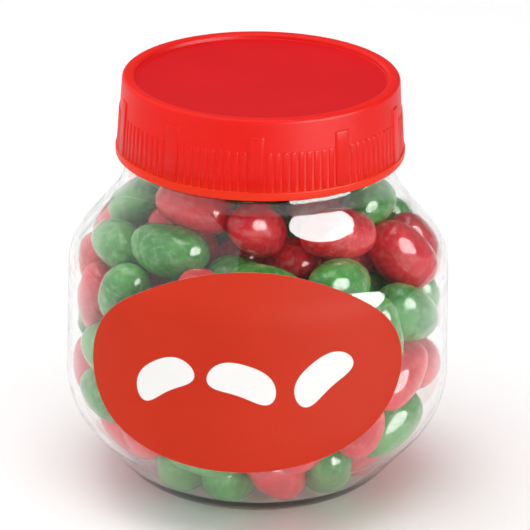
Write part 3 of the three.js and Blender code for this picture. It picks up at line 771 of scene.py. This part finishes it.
def drop_bean(limits, draw):
    """A loose bean at a random place in the jar, lying any way round."""
    while True:
        x = (draw() * 2 - 1) * BELLY_RADIUS
        y = (draw() * 2 - 1) * BELLY_RADIUS
        z = draw() * FILL_HEIGHT
        a = draw() * 2 - 1
        b = draw() * 2 - 1
        c = draw() * 2 - 1
        length = math.sqrt(a * a + b * b + c * c)
        radius = math.sqrt(x * x + y * y)
        clear = all(limit[0] * radius + limit[1] * z < limit[2] - BEAN_WAIST for limit in limits)
        if clear and SHORTEST_DRAW < length < 1:
            scale = BEAN_REACH / length
            return [[x - a * scale, y - b * scale, z - c * scale], [x, y, z + BEAN_BEND],
                    [x + a * scale, y + b * scale, z + c * scale]]


def set_distance(a, b, distance, share):
    """Moves two balls apart or together to the given distance. The first takes this share."""
    dx = a[0] - b[0]
    dy = a[1] - b[1]
    dz = a[2] - b[2]
    now = math.sqrt(dx * dx + dy * dy + dz * dz)
    scale = (distance - now) / now
    rest = 1 - share
    a[0] += dx * scale * share
    a[1] += dy * scale * share
    a[2] += dz * scale * share
    b[0] -= dx * scale * rest
    b[1] -= dy * scale * rest
    b[2] -= dz * scale * rest


def find_pairs(beans):
    """The pairs of beans that lie near enough to touch."""
    pairs = []
    for i, first in enumerate(beans):
        a = first["balls"][1]
        for second in beans[i + 1:]:
            b = second["balls"][1]
            square = (a[0] - b[0]) * (a[0] - b[0]) + (a[1] - b[1]) * (a[1] - b[1]) \
                + (a[2] - b[2]) * (a[2] - b[2])
            if square < PACK_NEAR * PACK_NEAR:
                pairs.append((first, second))
    return pairs


def separate(first, second, swell, holding):
    """Pushes two beans apart where their balls overlap."""
    first_weight = HELD_WEIGHT if first["held"] and holding else 1
    second_weight = HELD_WEIGHT if second["held"] and holding else 1
    share = first_weight / (first_weight + second_weight)
    first_size = first["size"]
    second_size = second["size"]
    second_balls = second["balls"]
    for k, a in enumerate(first["balls"]):
        own = BALL_RADII[k] * first_size
        for m in (0, 1, 2):
            b = second_balls[m]
            reach = (own + BALL_RADII[m] * second_size) * swell
            dx = a[0] - b[0]
            dy = a[1] - b[1]
            dz = a[2] - b[2]
            square = dx * dx + dy * dy + dz * dz
            if reach * reach > square > 0:
                set_distance(a, b, reach, share)


def settle(bean, ease):
    """Moves a loose bean down and, off the middle of the jar, outwards."""
    for ball in bean["balls"]:
        radius = math.sqrt(ball[0] * ball[0] + ball[1] * ball[1])
        drift = DRIFT * ease / radius if radius > DRIFT_FROM else 0
        ball[0] += ball[0] * drift
        ball[1] += ball[1] * drift
        ball[2] -= SINK * ease


def straighten(bean):
    """Gives a bean its length and bend back."""
    balls = bean["balls"]
    size = bean["size"]
    side_length = math.sqrt(BEAN_REACH * BEAN_REACH + BEAN_BEND * BEAN_BEND)
    set_distance(balls[0], balls[1], side_length * size, 0.5)
    set_distance(balls[1], balls[2], side_length * size, 0.5)
    set_distance(balls[0], balls[2], 2 * BEAN_REACH * size, 0.5)


def confine(ball, radius, limits):
    """Brings a ball back inside the jar."""
    for radial, upward, limit in limits:
        from_axis = math.sqrt(ball[0] * ball[0] + ball[1] * ball[1])
        over = radial * from_axis + upward * ball[2] - (limit - radius - BEAN_CLEARANCE)
        if over > 0:
            scale = radial * over / max(from_axis, over)
            ball[0] -= ball[0] * scale
            ball[1] -= ball[1] * scale
            ball[2] -= upward * over
    ball[2] = min(ball[2], FILL_HEIGHT - radius)


def pack_beans():
    """Fills the jar: the beans swell to full size, sink and spread a little at each step, and push
    each other and the wall until they lie clear. The placed ones are held near their places."""
    limits = room_limits()
    draw = make_random(PACK_SEED)
    beans = [{"balls": place_bean(limits, *row[:5]), "size": row[4], "held": True, "colour": row[5]}
             for row in placed]
    while len(beans) < BEAN_COUNT:
        balls = drop_bean(limits, draw)
        beans.append({"balls": balls, "size": 1 + BEAN_SPREAD * (draw() - 0.5), "held": False})
    for bean in beans:
        bean["home"] = [list(ball) for ball in bean["balls"]]
    pairs = []
    for step in range(PACK_STEPS):
        progress = step / PACK_STEPS
        swell = min(1, START_SIZE + (1 - START_SIZE) * progress / GROWN_AT)
        ease = 1 if progress < CALM_AT else CALM_EASE
        moving = progress < STILL_AT
        holding = progress < LOOSE_AT
        if step % PACK_REFRESH == 0:
            pairs = find_pairs(beans)
        for bean in beans:
            if moving and not bean["held"]:
                settle(bean, ease)
        for first, second in pairs:
            separate(first, second, swell, holding)
        for bean in beans:
            if bean["held"] and holding:
                for ball, home in zip(bean["balls"], bean["home"]):
                    for c in (0, 1, 2):
                        ball[c] += HELD_PULL * (home[c] - ball[c])
            straighten(bean)
            for k in (0, 1, 2):
                confine(bean["balls"][k], BALL_RADII[k] * bean["size"] * swell, limits)
    return beans


def make_bean_shape(material):
    """One straight bean along Z, 1 unit from its middle to each end and to its side. The heap's tree
    stretches, turns, bends and dents its copies."""
    sides = 20
    rings = 16
    outline = [(math.sin(math.pi * k / rings), -math.cos(math.pi * k / rings)) for k in range(rings + 1)]
    outline = [(r ** BEAN_FULLNESS if 0 < k < rings else 0, z) for k, (r, z) in enumerate(outline)]
    vertices, faces = turned(outline, sides)
    return make_object("bean_shape", [Vector(v) / MM for v in vertices], faces, material)


PATCH_FADE = (0.35, 0.65)             # noise values between which one colour turns into the next
SPECK_FADE = (0.45, 0.65)
SPECK_SHARE = 0.5


def make_bean_coat(name, dark, light, speck):
    """A polished sugar shell over jelly: colour a little uneven from bean to bean and within one."""
    coat = Finish(name)
    place = coat.node("TexCoord")["Object"]
    patches = coat.node("TexNoise", None, {"Vector": place, "Scale": 150.0, "Detail": 2.0})
    mottle = coat.node("TexNoise", None, {"Vector": place, "Scale": 700.0, "Detail": 4.0, "Roughness": 0.6})
    body = coat.mix(coat.ramp(patches, *PATCH_FADE), dark, light)
    colour = coat.mix(coat.ramp(mottle, *SPECK_FADE) * SPECK_SHARE, body, speck)
    bump = coat.node("Bump", None, {"Strength": 0.25, "Distance": 0.08 * MM, "Height": mottle})
    return coat.surface(coat.node("BsdfPrincipled", None, {
        "Base Color": colour, "Roughness": 0.42 + mottle * 0.12, "Specular IOR Level": 0.03,
        "Coat Weight": 1.0, "Coat Roughness": 0.04, "Normal": bump}))


BEAN_GROWTH = 1.05                    # the smooth beans are this many times as thick as the balls,
BEAN_STRETCH = 1.02                   # and this many times as long as the three balls in a row
BEAN_DENT = 0.6                       # from the shell's deepest dent to its highest bump, at most
DENT_SCALE = 130.0
COLOUR_SEED = 71
RED_SHARE = 0.5
RED_SHELL = ((0.58, 0.006, 0.014, 1), (0.74, 0.018, 0.032, 1), (0.80, 0.11, 0.12, 1))
GREEN_SHELL = ((0.030, 0.22, 0.030, 1), (0.080, 0.35, 0.065, 1), (0.20, 0.46, 0.17, 1))

heap = NodeTree("bean_heap", [
    ("Places", "Geometry"), ("Bean", "Object"), ("Dent", "Float"), ("Dent scale", "Float"),
    ("Coat", "Material")])
axis = heap.node("GeometryNodeInputNamedAttribute", {"data_type": "FLOAT_VECTOR"}, {"Name": "axis"})
bend = heap.node("GeometryNodeInputNamedAttribute", {"data_type": "FLOAT_VECTOR"}, {"Name": "bend"})
stretch = heap.node("GeometryNodeInputNamedAttribute", {"data_type": "FLOAT_VECTOR"}, {"Name": "stretch"})
arch = heap.node("GeometryNodeInputNamedAttribute", {"data_type": "FLOAT"}, {"Name": "arch"})
lengthwise = heap.node("FunctionNodeAlignRotationToVector", {"axis": "Z"}, {"Vector": axis})
bent_way = heap.node("FunctionNodeAlignRotationToVector", {"axis": "X", "pivot_axis": "Z"}, {
    "Rotation": lengthwise, "Vector": bend})
bean_copy = heap.node("GeometryNodeObjectInfo", None, {"Object": heap["Bean"]}, "Geometry")
shape_place = heap.node("GeometryNodeInputPosition")
shape_height = heap.node("ShaderNodeSeparateXYZ", None, {0: shape_place}, "Z")
marked = heap.node("GeometryNodeStoreNamedAttribute", {"data_type": "FLOAT", "domain": "POINT"}, {
    "Geometry": bean_copy, "Name": "along", "Value": shape_height})
copies = heap.node("GeometryNodeInstanceOnPoints", None, {
    "Points": heap["Places"], "Instance": marked, "Rotation": bent_way, "Scale": stretch})
real = heap.node("GeometryNodeRealizeInstances", None, {0: copies})
along = heap.node("GeometryNodeInputNamedAttribute", {"data_type": "FLOAT"}, {"Name": "along"})
flatness = heap.math("SUBTRACT", 1.0, heap.math("MULTIPLY", along, along))
lift = heap.node("ShaderNodeVectorMath", {"operation": "SCALE"}, {
    0: bend, "Scale": heap.math("MULTIPLY", arch, flatness)})
arched = heap.node("GeometryNodeSetPosition", None, {"Geometry": real, "Offset": lift})
noise = heap.node("ShaderNodeTexNoise", None, {"Scale": heap["Dent scale"], "Detail": 1.0}, "Fac")
normal = heap.node("GeometryNodeInputNormal")
dent = heap.node("ShaderNodeVectorMath", {"operation": "SCALE"}, {
    0: normal, "Scale": heap.math("MULTIPLY", heap.math("SUBTRACT", noise, 0.5), heap["Dent"])})
dented = heap.node("GeometryNodeSetPosition", None, {"Geometry": arched, "Offset": dent})
heap.end(dented, heap["Coat"])

beans = pack_beans()
pick = make_random(COLOUR_SEED)
for bean in beans:
    if "colour" not in bean:
        bean["colour"] = RED if pick() < RED_SHARE else GREEN
coats = {
    RED: ("red_beans", make_bean_coat("red_coat", *RED_SHELL)),
    GREEN: ("green_beans", make_bean_coat("green_coat", *GREEN_SHELL)),
}
for colour, (name, coat) in coats.items():
    bean_shape = make_bean_shape(coat)
    mesh = bpy.data.meshes.new(name)
    kind = [bean for bean in beans if bean["colour"] == colour]
    middles = []
    attributes = {"axis": [], "bend": [], "stretch": [], "arch": []}
    for bean in kind:
        first, middle, last = (Vector(ball) for ball in bean["balls"])
        axis_way = (last - first).normalized()
        bend_way = middle - (first + last) / 2
        bend_way = (bend_way - axis_way * bend_way.dot(axis_way)).normalized()
        size = bean["size"]
        middles.append((first + last) / 2 * MM)
        attributes["axis"].extend(axis_way)
        attributes["bend"].extend(bend_way)
        waist = BEAN_WAIST * BEAN_GROWTH * size * MM
        half_length = (BEAN_REACH + BEAN_TIP) * BEAN_STRETCH * size * MM
        attributes["stretch"].extend([waist * BEAN_FLATNESS, waist, half_length])
        attributes["arch"].append(BEAN_ARCH * MM)
    mesh.from_pydata(middles, [], [])
    for value_name, values in attributes.items():
        vector = value_name != "arch"
        layer = mesh.attributes.new(value_name, "FLOAT_VECTOR" if vector else "FLOAT", "POINT")
        layer.data.foreach_set("vector" if vector else "value", values)
    piece = bpy.data.objects.new(name, mesh)
    scene.collection.objects.link(piece)
    bake(piece, heap, {"Bean": bean_shape, "Dent": BEAN_DENT * MM, "Dent scale": DENT_SCALE, "Coat": coat})
    for polygon in piece.data.polygons:
        polygon.use_smooth = True
    bpy.data.objects.remove(bean_shape)
    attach(piece, "root")
    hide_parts("jelly_beans")
